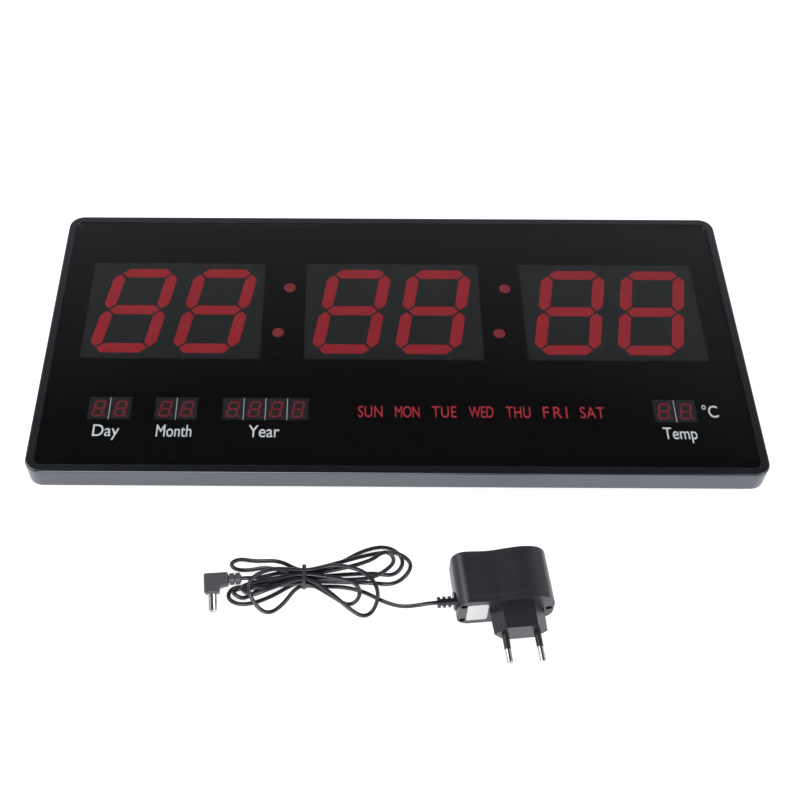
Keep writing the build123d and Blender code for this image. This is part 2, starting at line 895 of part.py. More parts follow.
well_points = [(-25.0, 21.0), (-25.0, 5.0), (25.4, 12.1)]
adapter_screw_diameter = 2.2
adapter_screw_length = 7.0
adapter_screw_head_diameter = 3.6
adapter_screw_head_height = 1.2
adapter_boss_diameter = 5.0
adapter_rib_thickness = 1.5
adapter_rib_x = 17.0
adapter_board_y = 18.0
relief_hole_diameter = relief_core_diameter + 0.4
relief_plane = Plane(
    origin=adapter_place(-adapter_width / 2, relief_y, relief_z),
    x_dir=-adapter_inward,
    z_dir=-adapter_across,
)
pin_points = [(nose_x + side * pin_spacing / 2, nose_z) for side in (-1, 1)]
nose_face = adapter_plane(-nose_length)

with BuildPart() as adapter_housing:
    with BuildSketch(adapter_plane(adapter_front_depth)):
        add(adapter_outline())
        make_face()
    extrude(amount=-(adapter_depth - adapter_front_depth))
    fillet(adapter_housing.faces().sort_by(Axis.Y)[-1].edges(), adapter_back_radius)
    with BuildSketch(adapter_plane(adapter_front_depth)):
        add(adapter_outline(adapter_wall))
        make_face()
    extrude(amount=-(adapter_depth - adapter_front_depth - adapter_wall), mode=Mode.SUBTRACT)
    with BuildSketch(adapter_plane(adapter_front_depth)):
        with Locations(*well_points):
            Circle(adapter_boss_diameter / 2)
    extrude(amount=-(adapter_depth - adapter_front_depth - adapter_wall))
    with BuildSketch(adapter_plane(adapter_front_depth)):
        with Locations(*well_points):
            Circle((adapter_screw_diameter + screw_clearance) / 2)
    extrude(amount=-adapter_screw_length, mode=Mode.SUBTRACT)
    with BuildSketch(adapter_plane(adapter_board_y - adapter_board_depth / 2)):
        with Locations(*((side * adapter_rib_x, adapter_board_z / 2) for side in (-1, 1))):
            Rectangle(adapter_rib_thickness, adapter_board_z - adapter_wall / 2)
    extrude(amount=-adapter_board_depth)
    with BuildSketch(relief_plane):
        Circle(relief_hole_diameter / 2)
    extrude(amount=-adapter_wall, mode=Mode.SUBTRACT)
finish(adapter_housing, "adapter_housing")

with BuildPart() as adapter_front:
    with BuildSketch(adapter_plane()):
        add(adapter_outline())
        make_face()
    extrude(amount=-adapter_front_depth)
    with BuildSketch(adapter_plane()):
        with Locations((nose_x, nose_z)):
            Polygon(*nose_outline(), align=None)
    extrude(amount=nose_length, taper=nose_taper)
    with BuildSketch(adapter_plane(adapter_front_depth)):
        with Locations((nose_x, nose_z)):
            Polygon(*nose_outline(nose_wall), align=None)
    extrude(amount=adapter_front_depth + nose_length - nose_wall, mode=Mode.SUBTRACT)
    with BuildSketch(adapter_plane()):
        with Locations(*well_points):
            Circle(well_diameter / 2)
    extrude(amount=-well_depth, mode=Mode.SUBTRACT)
    with BuildSketch(adapter_plane()):
        with Locations(*well_points):
            Circle((adapter_screw_diameter + hole_clearance) / 2)
    extrude(amount=-adapter_front_depth, mode=Mode.SUBTRACT)
    with BuildSketch(nose_face):
        with Locations(*pin_points):
            Circle(pin_neck_diameter / 2)
    extrude(amount=-nose_wall, mode=Mode.SUBTRACT)
finish(adapter_front, "adapter_front")

with BuildPart() as adapter_screws:
    with BuildSketch(adapter_plane(well_depth)):
        with Locations(*well_points):
            Circle(adapter_screw_head_diameter / 2)
    extrude(amount=adapter_screw_head_height)
    with BuildSketch(adapter_plane(well_depth)):
        with Locations(*well_points):
            Circle(adapter_screw_diameter / 2)
    extrude(amount=-adapter_screw_length)
finish(adapter_screws, "adapter_screws")

with BuildPart() as adapter_label:
    with BuildSketch(adapter_plane()):
        with Locations((label_x, label_z)):
            RectangleRounded(label_width, label_height, 1.5)
    extrude(amount=label_thickness)
finish(adapter_label, "adapter_label")

with BuildPart() as adapter_pins:
    with BuildSketch(nose_face.offset(-nose_wall - pin_inner_length)):
        with Locations(*pin_points):
            Circle(pin_neck_diameter / 2)
    extrude(amount=nose_wall + pin_inner_length + sleeve_length)
    with BuildSketch(nose_face.offset(sleeve_length)):
        with Locations(*pin_points):
            Circle(pin_diameter / 2)
    extrude(amount=pin_length - sleeve_length)
    fillet(adapter_pins.faces().group_by(Axis.Y)[0].edges(), pin_diameter * 0.4)
finish(adapter_pins, "adapter_pins")

with BuildPart() as pin_sleeves:
    with BuildSketch(nose_face):
        with Locations(*pin_points):
            Circle(pin_diameter / 2)
            Circle(pin_neck_diameter / 2, mode=Mode.SUBTRACT)
    extrude(amount=sleeve_length)
finish(pin_sleeves, "pin_sleeves")

adapter_board_top = adapter_board_z + board_thickness

with BuildPart() as adapter_board:
    with BuildSketch(adapter_plane(adapter_board_y - adapter_board_depth / 2)):
        with Locations((0, adapter_board_z + board_thickness / 2)):
            Rectangle(adapter_board_width, board_thickness)
    extrude(amount=-adapter_board_depth)
finish(adapter_board, "adapter_board")

transformer_width = 15.0
transformer_depth = 13.0
transformer_height = 13.0

with BuildPart() as adapter_transformer:
    with BuildSketch(adapter_plane(12.0)):
        with Locations((-5.0, adapter_board_top + transformer_height / 2)):
            Rectangle(transformer_width, transformer_height)
    extrude(amount=-transformer_depth)
finish(adapter_transformer, "adapter_transformer")

with BuildPart() as adapter_capacitors:
    for x, y in ((-17.0, 18.0), (11.0, 16.5), (11.0, 25.0)):
        with BuildSketch(Plane(origin=adapter_place(x, y, adapter_board_top))):
            Circle(4.0)
        extrude(amount=12.0)
finish(adapter_capacitors, "adapter_capacitors")

mains_wire_diameter = 1.6
lead_diameter = 1.2
lead_spacing = 1.8

with BuildPart() as mains_wires:
    for x, level in pin_points:
        pin_end = adapter_place(x, -nose_length + nose_wall + pin_inner_length, level)
        over_board = adapter_place(x, 9.5, level)
        on_board = adapter_place(x, 9.5, adapter_board_top)
        add(tube((pin_end, over_board, on_board), (2.0,), mains_wire_diameter))
finish(mains_wires, "mains_wires")

with BuildPart() as adapter_relief:
    with BuildSketch(relief_plane):
        Circle(relief_flange_diameter / 2)
    extrude(amount=relief_flange_thickness)
    with BuildSketch(relief_plane.offset(-relief_inner_length)):
        Circle(relief_core_diameter / 2)
    extrude(amount=relief_inner_length + relief_flange_thickness + relief_rib_count * relief_rib_pitch)
    with BuildSketch(relief_plane.offset(-relief_inner_length)):
        Circle(relief_core_diameter / 2 + 1.0)
    extrude(amount=relief_inner_length - adapter_wall - 0.1)
    for index in range(relief_rib_count):
        rib_start = relief_flange_thickness + (index + 1) * relief_rib_pitch - relief_rib_thickness
        with BuildSketch(relief_plane.offset(rib_start)):
            Circle(relief_rib_diameter / 2)
        extrude(amount=relief_rib_thickness)
finish(adapter_relief, "adapter_relief")

with BuildPart() as output_leads:
    for y in (relief_y + lead_spacing / 2, relief_y - lead_spacing / 2):
        cord_inner_end = adapter_place(-adapter_width / 2 + relief_inner_length, y, relief_z)
        over_board = adapter_place(-17.5, y, relief_z)
        on_board = adapter_place(-17.5, y, adapter_board_top)
        add(tube((cord_inner_end, over_board, on_board), (2.0,), lead_diameter))
finish(output_leads, "output_leads")

# --- plug ---

plug_cord_way = Vector(1, 0, 0).rotate(Axis.Z, plug_turn)
plug_tip_way = Vector(0, -1, 0).rotate(Axis((0, 0, 0), (1, 0, 0)), plug_tip_down).rotate(Axis.Z, plug_turn)
plug_up = plug_tip_way.cross(plug_cord_way)
plug_face = Plane(origin=(plug_x, plug_y, plug_z), x_dir=plug_cord_way, z_dir=plug_up)
barrel_plane = Plane(
    origin=Vector(plug_x, plug_y, plug_z) + plug_tip_way * plug_leg_front,
    x_dir=plug_cord_way,
    z_dir=plug_tip_way,
)
plug_side_plane = Plane(
    origin=Vector(plug_x, plug_y, plug_z) + plug_cord_way * plug_side_reach,
    x_dir=plug_up,
    z_dir=plug_cord_way,
)

with BuildPart() as plug_body:
    with BuildSketch(plug_face.offset(-plug_thickness / 2)):
        Polygon(
            (-plug_leg_width / 2, plug_leg_back),
            (plug_side_reach, plug_leg_back),
            (plug_side_reach, plug_leg_back - plug_side_end_width),
            (plug_leg_width / 2, plug_leg_back - plug_leg_width),
            (plug_leg_width / 2, -plug_leg_front),
            (-plug_leg_width / 2, -plug_leg_front),
            align=None,
        )
    extrude(amount=plug_thickness)
    fillet(plug_body.edges(), plug_edge_radius)
    with BuildSketch(plug_side_plane):
        Circle(plug_core_diameter / 2)
    extrude(amount=plug_rib_count * plug_rib_pitch + plug_core_tail)
    for index in range(plug_rib_count):
        with BuildSketch(plug_side_plane.offset((index + 1) * plug_rib_pitch - plug_rib_thickness)):
            Circle(plug_rib_diameter / 2)
        extrude(amount=plug_rib_thickness)
    with BuildSketch(barrel_plane):
        Circle(barrel_root_diameter / 2)
    extrude(amount=-barrel_root, mode=Mode.SUBTRACT)
finish(plug_body, "plug_body")

with BuildPart() as plug_barrel:
    with BuildSketch(barrel_plane):
        Circle(barrel_diameter / 2)
    extrude(amount=barrel_length)
    with BuildSketch(barrel_plane):
        Circle(barrel_root_diameter / 2)
    extrude(amount=-barrel_root)
    with BuildSketch(barrel_plane.offset(barrel_length)):
        Circle(barrel_bore_diameter / 2)
    extrude(amount=-(barrel_root + barrel_length), mode=Mode.SUBTRACT)
    tip_rim = plug_barrel.faces().sort_by(Axis.Z)[0].edges().sort_by(SortBy.RADIUS)[-1]
    chamfer(tip_rim, barrel_tip_chamfer)
finish(plug_barrel, "plug_barrel")

with BuildPart() as plug_insulator:
    with BuildSketch(barrel_plane.offset(-barrel_root)):
        Circle(barrel_bore_diameter / 2)
        Circle(barrel_contact_diameter / 2, mode=Mode.SUBTRACT)
    extrude(amount=barrel_root + barrel_length - 0.6)
finish(plug_insulator, "plug_insulator")

plug_rib_reach = plug_side_reach + plug_rib_count * plug_rib_pitch + plug_core_tail
plug_cord_end = Vector(plug_x, plug_y, plug_z) + plug_cord_way * plug_rib_reach

# --- cord ---

cord_floor = cord_diameter / 2 + floor_gap
waist_floor = cord_floor + tie_thickness + tie_clearance

# Where each strand passes the tie: column across the waist, row up, columns in that row.
waist_slots = {
    "first": (3, 0, 4),
    "second": (2, 0, 4),
    "third": (1, 0, 4),
    "fourth": (3, 1, 4),
    "fifth": (2, 1, 4),
    "sixth": (1, 1, 4),
    "seventh": (0, 1, 4),
    "eighth": (1, 2, 3),
    "ninth": (0, 2, 3),
    "tenth": (2, 2, 3),
    "last": (0, 0, 4),
}

# Each loose loop as it lies, from one strand to the next: millimetres right of the tie,
# millimetres towards the clock, and how many cord spacings above the floor.
hank_loops = (
    (
        "first",
        (
            (20.0, 10.6, 0.0), (33.3, 19.4, 0.0), (46.5, 22.8, 0.0), (55.5, 17.5, 0.0),
            (57.2, 9.8, 0.0), (51.0, 2.6, 0.0), (39.0, 5.0, 0.0),
        ),
    ),
    (
        "second",
        (
            (-31.7, -4.2, 0.0), (-41.5, -5.4, 0.0), (-43.8, -12.5, 0.0),
            (-35.0, -16.9, 0.0), (-20.3, -12.3, 0.0),
        ),
    ),
    (
        "third",
        (
            (38.0, -1.4, 0.0), (52.7, -4.8, 1.0), (63.2, 7.8, 1.0), (55.6, 16.4, 1.0),
            (42.5, 15.4, 2.1),
        ),
    ),
    (
        "fourth",
        (
            (-14.5, 9.9, 1.8), (-28.4, 11.2, 0.4), (-38.3, 13.7, 0.0),
            (-43.4, 10.1, 0.0), (-39.5, 6.2, 0.0), (-31.5, 5.7, 0.2),
            (-20.8, 4.9, 2.2),
        ),
    ),
    (
        "fifth",
        (
            (36.9, 7.6, 2.4), (46.5, 15.2, 3.2), (53.0, 10.0, 2.0), (44.9, 2.5, 1.3),
            (34.0, -2.6, 1.7),
        ),
    ),
    (
        "sixth",
        (
            (-21.6, -3.6, 1.0), (-33.2, -13.6, 0.1), (-40.8, -10.9, 1.5),
            (-38.0, -6.9, 0.6), (-29.6, -8.1, 1.7),
        ),
    ),
    (
        "seventh",
        (
            (17.0, -13.2, 1.5), (25.5, -16.8, 0.0), (32.0, -13.0, 1.0),
            (31.0, -6.7, 2.4), (24.0, -3.8, 2.7),
        ),
    ),
    (
        "eighth",
        (
            (-23.8, -4.3, 2.4), (-30.3, -6.2, 2.6), (-36.3, -8.9, 2.4),
            (-29.9, -12.9, 1.6), (-21.3, -10.4, 2.5),
        ),
    ),
    (
        "ninth",
        (
            (16.0, -12.6, 2.6), (27.0, -20.7, 0.9), (34.0, -23.5, 0.0),
            (40.0, -20.0, 0.4), (43.0, -9.5, 1.9), (36.0, 0.5, 2.8), (25.0, 4.2, 3.1),
            (15.3, 5.7, 2.5),
        ),
    ),
    (
        "tenth",
        (
            (-17.0, 2.5, 3.2), (-26.0, -1.5, 3.6), (-31.2, -7.2, 3.6),
            (-30.8, -13.0, 2.8), (-25.8, -19.2, 0.7), (-19.5, -21.8, 0.0),
            (-12.0, -16.5, 0.0),
        ),
    ),
)


def waist_pass(name, heading):
    """The two ends of one strand's straight pass under the tie, heading +1 for rightwards."""
    column, row, columns = waist_slots[name]
    y = tie_y + (column - (columns - 1) / 2) * cord_spacing
    z = waist_floor + row * cord_spacing
    return [Vector(tie_x + side * heading * waist_length / 2, y, z) for side in (-1, 1)]


def hank_points():
    """The hank's route from the plug's side to the adapter's, with the waist passes marked."""
    lead = plug_cord_end + plug_cord_way * cord_stub_length
    points = [lead, lead + plug_cord_way * hank_lead_length]
    points += [Vector(-80.9, -169.4, 2.5), Vector(-72.0, -165.8, 1.3)]
    passes = [0]
    heading = 1
    for name, loop in hank_loops:
        passes.append(len(points))
        points += waist_pass(name, heading)
        points += [
            Vector(tie_x + x, tie_y + y, cord_floor + layer * cord_spacing) for x, y, layer in loop
        ]
        heading = -heading
    passes.append(len(points))
    points += waist_pass("last", 1)
    points.append(points[-1] + Vector(hank_tail_length, 0, cord_floor - waist_floor))
    return points, passes


def level_limited(direction, before, after):
    """Keeps a heading level where the route does not climb the same way on both sides."""
    if before.Z * after.Z <= 1e-6:
        return Vector(direction.X, direction.Y, 0).normalized()
    steepest = 1.2 * min(abs(before.Z) / before.length, abs(after.Z) / after.length)
    return Vector(direction.X, direction.Y, max(-steepest, min(steepest, direction.Z))).normalized()


def headings(points, passes):
    """The route's heading at each of its points."""
    result = []
    for index, point in enumerate(points):
        if index in passes:
            result.append((points[index + 1] - point).normalized())
        elif index - 1 in passes:
            result.append((point - points[index - 1]).normalized())
        elif index == len(points) - 1:
            result.append(Vector(1, 0, 0))
        else:
            before = point - points[index - 1]
            after = points[index + 1] - point
            weighted = before.normalized() * after.length + after.normalized() * before.length
            result.append(level_limited(weighted.normalized(), before, after))
    return result


def biarc_joint(start, start_way, end, end_way):
    """Where two arcs, one from each end, meet with a common heading."""
    across = end - start
    square = 2 * (1 - start_way.dot(end_way))
    slope = 2 * across.dot(start_way + end_way)
    if square < 1e-9:
        reach = across.dot(across) / slope
    else:
        reach = (math.sqrt(slope**2 + 4 * square * across.dot(across)) - slope) / (2 * square)
    return (start + start_way * reach + end - end_way * reach) * 0.5


def hank_route(points, ways):
    """The route as an unbroken chain of straight runs and arcs."""
    pieces = []
    for index in range(len(points) - 1):
        start, end = points[index], points[index + 1]
        start_way, end_way = ways[index], ways[index + 1]
        straight = (end - start).normalized()
        if straight.dot(start_way) > 0.99999 and straight.dot(end_way) > 0.99999:
            pieces.append(Edge.make_line(start, end))
            continue
        joint = biarc_joint(start, start_way, end, end_way)
        first = Edge.make_tangent_arc(start, start_way, joint)
        pieces += [first, Edge.make_tangent_arc(joint, first % 1, end)]
    return pieces


def closest_approach(pieces, skip):
    """The least distance between parts of the route that lie further apart along it than skip."""
    samples = []
    travelled = 0.0
    for piece in pieces:
        steps = max(2, math.ceil(piece.length / 0.7))
        for step in range(steps):
            samples.append((piece @ (step / steps), travelled + piece.length * step / steps))
        travelled += piece.length
    least = travelled
    coordinates = [(point.X, point.Y, point.Z, along) for point, along in samples]
    for index, (x, y, z, along) in enumerate(coordinates):
        for other_x, other_y, other_z, other_along in coordinates[index + 1 :]:
            if other_along - along > skip:
                distance = (x - other_x) ** 2 + (y - other_y) ** 2 + (z - other_z) ** 2
                least = min(least, distance)
    return math.sqrt(least)


def tightest_bend(pieces):
    """The smallest radius among the route's arcs."""
    return min(piece.radius for piece in pieces if piece.geom_type == GeomType.CIRCLE)


hank_keys, hank_passes = hank_points()
hank_pieces = hank_route(hank_keys, headings(hank_keys, hank_passes))
hank_length = sum(piece.length for piece in hank_pieces)
hank_gap = closest_approach(hank_pieces, 3.6 * cord_diameter) - cord_diameter
hank_bend = tightest_bend(hank_pieces)
print(f"hank length {hank_length:.1f}, least gap {hank_gap:.2f}, tightest radius {hank_bend:.2f}")

with BuildPart() as cord_hank:
    with BuildLine():
        add(hank_pieces)
    with BuildSketch(Plane(origin=hank_pieces[0] @ 0, z_dir=hank_pieces[0] % 0)):
        Circle(cord_diameter / 2)
    sweep(path=Wire(hank_pieces))
finish(cord_hank, "cord_hank")
print(
    f"hank volume {cord_hank.part.volume:.1f},"
    f" section by length {math.pi * cord_diameter**2 / 4 * hank_length:.1f}"
)


def bend_radii(points):
    """A radius for each corner of a free run of cord, as wide as the shorter run allows."""
    radii = []
    for before, corner, after in zip(points, points[1:], points[2:]):
        into = corner - before
        out = after - corner
        turn = math.radians(into.get_angle(out))
        radii.append(0.45 * min(into.length, out.length) / math.tan(turn / 2))
    return radii


relief_reach = relief_flange_thickness + relief_rib_count * relief_rib_pitch
relief_end = adapter_place(-adapter_width / 2 - relief_reach, relief_y, relief_z)
hank_end = hank_keys[-1]

free_run = [
    hank_end,
    hank_end + Vector(11.0, 0, 0),
    Vector(-20.0, -178.2, cord_floor),
    Vector(-8.5, -185.8, 2.8),
    Vector(2.0, -191.0, 6.6),
    Vector(11.5, -192.1, 11.4),
    relief_end - adapter_across * 5.0,
    relief_end,
]
free_bends = bend_radii(free_run)
print("free cord bend radii", [round(radius, 1) for radius in free_bends])

cord_to_adapter = tube(free_run, free_bends, cord_diameter)
finish(cord_to_adapter, "cord_to_adapter")

with BuildPart() as cord_to_plug:
    with BuildSketch(Plane(origin=plug_cord_end, z_dir=plug_cord_way)):
        Circle(cord_diameter / 2)
    extrude(amount=cord_stub_length)
finish(cord_to_plug, "cord_to_plug")

# --- tie round the waist ---

bundle_width = 3 * cord_spacing + cord_diameter + 2 * tie_clearance
bundle_height = 2 * cord_spacing + cord_diameter + 2 * tie_clearance
bundle_z = waist_floor + cord_spacing
tie_corner = cord_diameter / 2 + tie_clearance

with BuildPart() as cord_tie:
    with BuildSketch(Plane(origin=(tie_x, tie_y, bundle_z), x_dir=(0, 1, 0), z_dir=(1, 0, 0))):
        RectangleRounded(
            bundle_width + 2 * tie_thickness, bundle_height + 2 * tie_thickness, tie_corner + tie_thickness
        )
        RectangleRounded(bundle_width, bundle_height, tie_corner, mode=Mode.SUBTRACT)
    extrude(amount=tie_width / 2, both=True)
finish(cord_tie, "cord_tie")
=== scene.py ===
import json
import math

import bmesh
import bpy
from mathutils import Matrix, Vector


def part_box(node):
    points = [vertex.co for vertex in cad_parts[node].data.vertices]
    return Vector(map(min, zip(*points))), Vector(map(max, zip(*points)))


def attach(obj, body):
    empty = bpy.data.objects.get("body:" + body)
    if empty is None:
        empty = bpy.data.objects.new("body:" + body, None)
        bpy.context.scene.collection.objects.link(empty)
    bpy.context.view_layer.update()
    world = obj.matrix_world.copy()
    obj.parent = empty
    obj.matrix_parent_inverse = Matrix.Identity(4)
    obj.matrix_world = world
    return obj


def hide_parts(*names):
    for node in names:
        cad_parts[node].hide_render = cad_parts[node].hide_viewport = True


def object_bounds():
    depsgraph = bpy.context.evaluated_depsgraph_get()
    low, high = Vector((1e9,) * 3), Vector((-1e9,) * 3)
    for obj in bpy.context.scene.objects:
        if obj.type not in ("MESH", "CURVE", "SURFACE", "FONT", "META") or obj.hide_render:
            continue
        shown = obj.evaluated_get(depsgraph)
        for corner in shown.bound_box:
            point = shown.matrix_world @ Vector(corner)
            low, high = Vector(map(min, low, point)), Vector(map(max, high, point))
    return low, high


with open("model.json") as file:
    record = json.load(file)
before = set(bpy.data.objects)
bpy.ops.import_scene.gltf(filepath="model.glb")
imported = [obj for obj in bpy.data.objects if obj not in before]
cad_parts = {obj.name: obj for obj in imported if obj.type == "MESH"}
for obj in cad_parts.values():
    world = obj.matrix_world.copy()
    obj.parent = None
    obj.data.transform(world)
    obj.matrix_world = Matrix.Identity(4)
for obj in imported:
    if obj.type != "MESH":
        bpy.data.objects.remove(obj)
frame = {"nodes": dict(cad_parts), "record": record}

cad_low, cad_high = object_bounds()

MM = 0.001

# --- camera ---

camera_lift = math.radians(53.037)
camera_swing = math.radians(0.385)
camera_point = Vector((-0.0316, -0.5322, 0.6614))
camera_back = Vector(
    (
        math.sin(camera_swing) * math.cos(camera_lift),
        -math.cos(camera_swing) * math.cos(camera_lift),
        math.sin(camera_lift),
    )
)
camera_right = Vector((math.cos(camera_swing), math.sin(camera_swing), 0))
camera_up = camera_back.cross(camera_right)

camera_data = bpy.data.cameras.new("camera")
camera_data.lens = 55.96
camera_data.sensor_width = 36.0
camera_data.shift_x = 0.0738
camera = bpy.data.objects.new("camera", camera_data)
camera.matrix_world = Matrix.Translation(camera_point) @ Matrix(
    (camera_right, camera_up, camera_back)
).transposed().to_4x4()
bpy.context.collection.objects.link(camera)
bpy.context.scene.camera = camera

# --- cord ---

cord_diameter = 2.5
cord_spacing = 2.95
tie_x = -56.0
tie_y = -170.5
waist_length = 8.0
loop_spread = 1.045
hank_lead_length = 2.5
hank_entry = (Vector((-80.9, -169.4, 2.5)), Vector((-72.0, -165.8, 1.3)))
hank_tail_length = 8.0
cord_stub_length = 3.4
plug_point = Vector((-110.6, -175.3, 9.0))
plug_turn = math.radians(4.5)
plug_cord_way = Vector((math.cos(plug_turn), math.sin(plug_turn), 0))
plug_cord_end = plug_point + plug_cord_way * 17.6
adapter_turn = math.radians(5.3)
adapter_across = Vector((math.cos(adapter_turn), math.sin(adapter_turn), 0))
relief_end = Vector((22.05, -191.33, 13.0))
floor_gap = 0.05
cord_floor = cord_diameter / 2 + floor_gap
waist_floor = cord_floor + 0.85

waist_slots = {
    "first": (3, 0, 4),
    "second": (2, 0, 4),
    "third": (1, 0, 4),
    "fourth": (3, 1, 4),
    "fifth": (2, 1, 4),
    "sixth": (1, 1, 4),
    "seventh": (0, 1, 4),
    "eighth": (1, 2, 3),
    "ninth": (0, 2, 3),
    "tenth": (2, 2, 3),
    "last": (0, 0, 4),
}

# Each loose loop as it lies, from one strand to the next: millimetres right of the tie,
# millimetres towards the clock, and how many cord spacings above the floor.
hank_loops = (
    (
        "first",
        (
            (20.0, 10.6, 0.0), (33.3, 19.4, 0.0), (46.5, 22.8, 0.0), (55.5, 17.5, 0.0),
            (57.2, 9.8, 0.0), (51.0, 2.6, 0.0), (39.0, 5.0, 0.0),
        ),
    ),
    (
        "second",
        (
            (-31.7, -4.2, 0.0), (-41.5, -5.4, 0.0), (-43.8, -12.5, 0.0),
            (-35.0, -16.9, 0.0), (-20.3, -12.3, 0.0),
        ),
    ),
    (
        "third",
        (
            (38.0, -1.4, 0.0), (52.7, -4.8, 1.0), (63.2, 7.8, 1.0), (55.6, 16.4, 1.0),
            (42.5, 15.4, 2.1),
        ),
    ),
    (
        "fourth",
        (
            (-14.5, 9.9, 1.8), (-28.4, 11.2, 0.4), (-38.3, 13.7, 0.0),
            (-43.4, 10.1, 0.0), (-39.5, 6.2, 0.0), (-31.5, 5.7, 0.2),
            (-20.8, 4.9, 2.2),
        ),
    ),
    (
        "fifth",
        (
            (36.9, 7.6, 2.4), (46.5, 15.2, 3.2), (53.0, 10.0, 2.0), (44.9, 2.5, 1.3),
            (34.0, -2.6, 1.7),
        ),
    ),
    (
        "sixth",
        (
            (-21.6, -3.6, 1.0), (-33.2, -13.6, 0.1), (-40.8, -10.9, 1.5),
            (-38.0, -6.9, 0.6), (-29.6, -8.1, 1.7),
        ),
    ),
    (
        "seventh",
        (
            (17.0, -13.2, 1.5), (25.5, -16.8, 0.0), (32.0, -13.0, 1.0),
            (31.0, -6.7, 2.4), (24.0, -3.8, 2.7),
        ),
    ),
    (
        "eighth",
        (
            (-23.8, -4.3, 2.4), (-30.3, -6.2, 2.6), (-36.3, -8.9, 2.4),
            (-29.9, -12.9, 1.6), (-21.3, -10.4, 2.5),
        ),
    ),
    (
        "ninth",
        (
            (16.0, -12.6, 2.6), (27.0, -20.7, 0.9), (34.0, -23.5, 0.0),
            (40.0, -20.0, 0.4), (43.0, -9.5, 1.9), (36.0, 0.5, 2.8), (25.0, 4.2, 3.1),
            (15.3, 5.7, 2.5),
        ),
    ),
    (
        "tenth",
        (
            (-17.0, 2.5, 3.2), (-26.0, -1.5, 3.6), (-31.2, -7.2, 3.6),
            (-30.8, -13.0, 2.8), (-25.8, -19.2, 0.7), (-19.5, -21.8, 0.0),
            (-12.0, -16.5, 0.0),
        ),
    ),
)


def waist_pass(name, heading):
    """The two ends of one strand's straight pass under the tie, heading +1 for rightwards."""
    column, row, columns = waist_slots[name]
    y = tie_y + (column - (columns - 1) / 2) * cord_spacing
    z = waist_floor + row * cord_spacing
    return [Vector((tie_x + side * heading * waist_length / 2, y, z)) for side in (-1, 1)]


def hank_points():
    """The hank's route from the plug's side to the adapter's."""
    lead = plug_cord_end + plug_cord_way * cord_stub_length
    points = [lead, lead + plug_cord_way * hank_lead_length, *hank_entry]
    heading = 1
    for name, loop in hank_loops:
        points += waist_pass(name, heading)
        for x, y, layer in loop:
            height = cord_floor + layer * cord_spacing
            points.append(Vector((tie_x + x * loop_spread, tie_y + y * loop_spread, height)))
        heading = -heading
    points += waist_pass("last", 1)
    points.append(points[-1] + Vector((hank_tail_length, 0, cord_floor - waist_floor)))
    return points


hank_route = hank_points()
hank_end = hank_route[-1]
cord_route = [plug_cord_end, *hank_route]
cord_route += [
    hank_end + Vector((11.0, 0, 0)),
    Vector((-20.0, -178.2, cord_floor)),
    Vector((-8.5, -185.8, 2.8)),
    Vector((2.0, -191.0, 6.6)),
    Vector((11.5, -192.1, 11.4)),
    relief_end - adapter_across * 5.0,
    relief_end,
]
cord_route.reverse()

cord_curve = bpy.data.curves.new("cord", "CURVE")
cord_curve.dimensions = "3D"
# The bevel multiplies each point's radius, which holds the cord's diameter.
cord_curve.bevel_depth = 0.5
cord_curve.bevel_resolution = 3
cord_curve.resolution_u = 5
cord_curve.use_fill_caps = True
cord_spline = cord_curve.splines.new("NURBS")
cord_spline.points.add(len(cord_route) - 1)
for spline_point, point in zip(cord_spline.points, cord_route):
    spline_point.co = (point.x * MM, point.y * MM, point.z * MM, 1)
    spline_point.radius = cord_diameter * MM
cord_spline.order_u = 3
cord_spline.use_endpoint_u = True
cord = bpy.data.objects.new("cord", cord_curve)
bpy.context.collection.objects.link(cord)
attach(cord, "adapter")
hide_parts("cord_hank", "cord_to_adapter", "cord_to_plug")

# --- shared effects ---

smudge_scale = 22.0
# Edges are lightened towards a grey: partly wear, partly a painted highlight along the edges.
edge_wear_and_highlight_radius = 0.6 * MM
edge_wear_and_highlight_from = 0.04
edge_wear_and_highlight_full = 0.3
edge_wear_and_highlight_colour = (0.3, 0.3, 0.31, 1)
grain_height = 0.05 * MM


def group_with(name, inputs, outputs):
    """An empty shader group with its sockets, and its two end nodes."""
    group = bpy.data.node_groups.new(name, "ShaderNodeTree")
    for label, kind, value in inputs:
        socket = group.interface.new_socket(label, in_out="INPUT", socket_type=kind)
        socket.default_value = value
    for label, kind in outputs:
        group.interface.new_socket(label, in_out="OUTPUT", socket_type=kind)
    return group, group.nodes.new("NodeGroupInput"), group.nodes.new("NodeGroupOutput")


def join(tree, *pairs):
    """Links each pair of sockets."""
    for start, end in pairs:
        tree.links.new(start, end)


def maths(tree, operation, first, second):
    """A Math node fed by sockets or plain numbers."""
    node = tree.nodes.new("ShaderNodeMath")
    node.operation = operation
    for socket, value in zip(node.inputs, (first, second)):
        if isinstance(value, (int, float)):
            socket.default_value = value
        else:
            tree.links.new(value, socket)
    return node.outputs[0]


def noise(tree, vector, scale, detail):
    """A noise pattern over the piece."""
    node = tree.nodes.new("ShaderNodeTexNoise")
    node.inputs["Detail"].default_value = detail
    if isinstance(scale, (int, float)):
        node.inputs["Scale"].default_value = scale
    else:
        tree.links.new(scale, node.inputs["Scale"])
    tree.links.new(vector, node.inputs["Vector"])
    return node.outputs["Fac"]


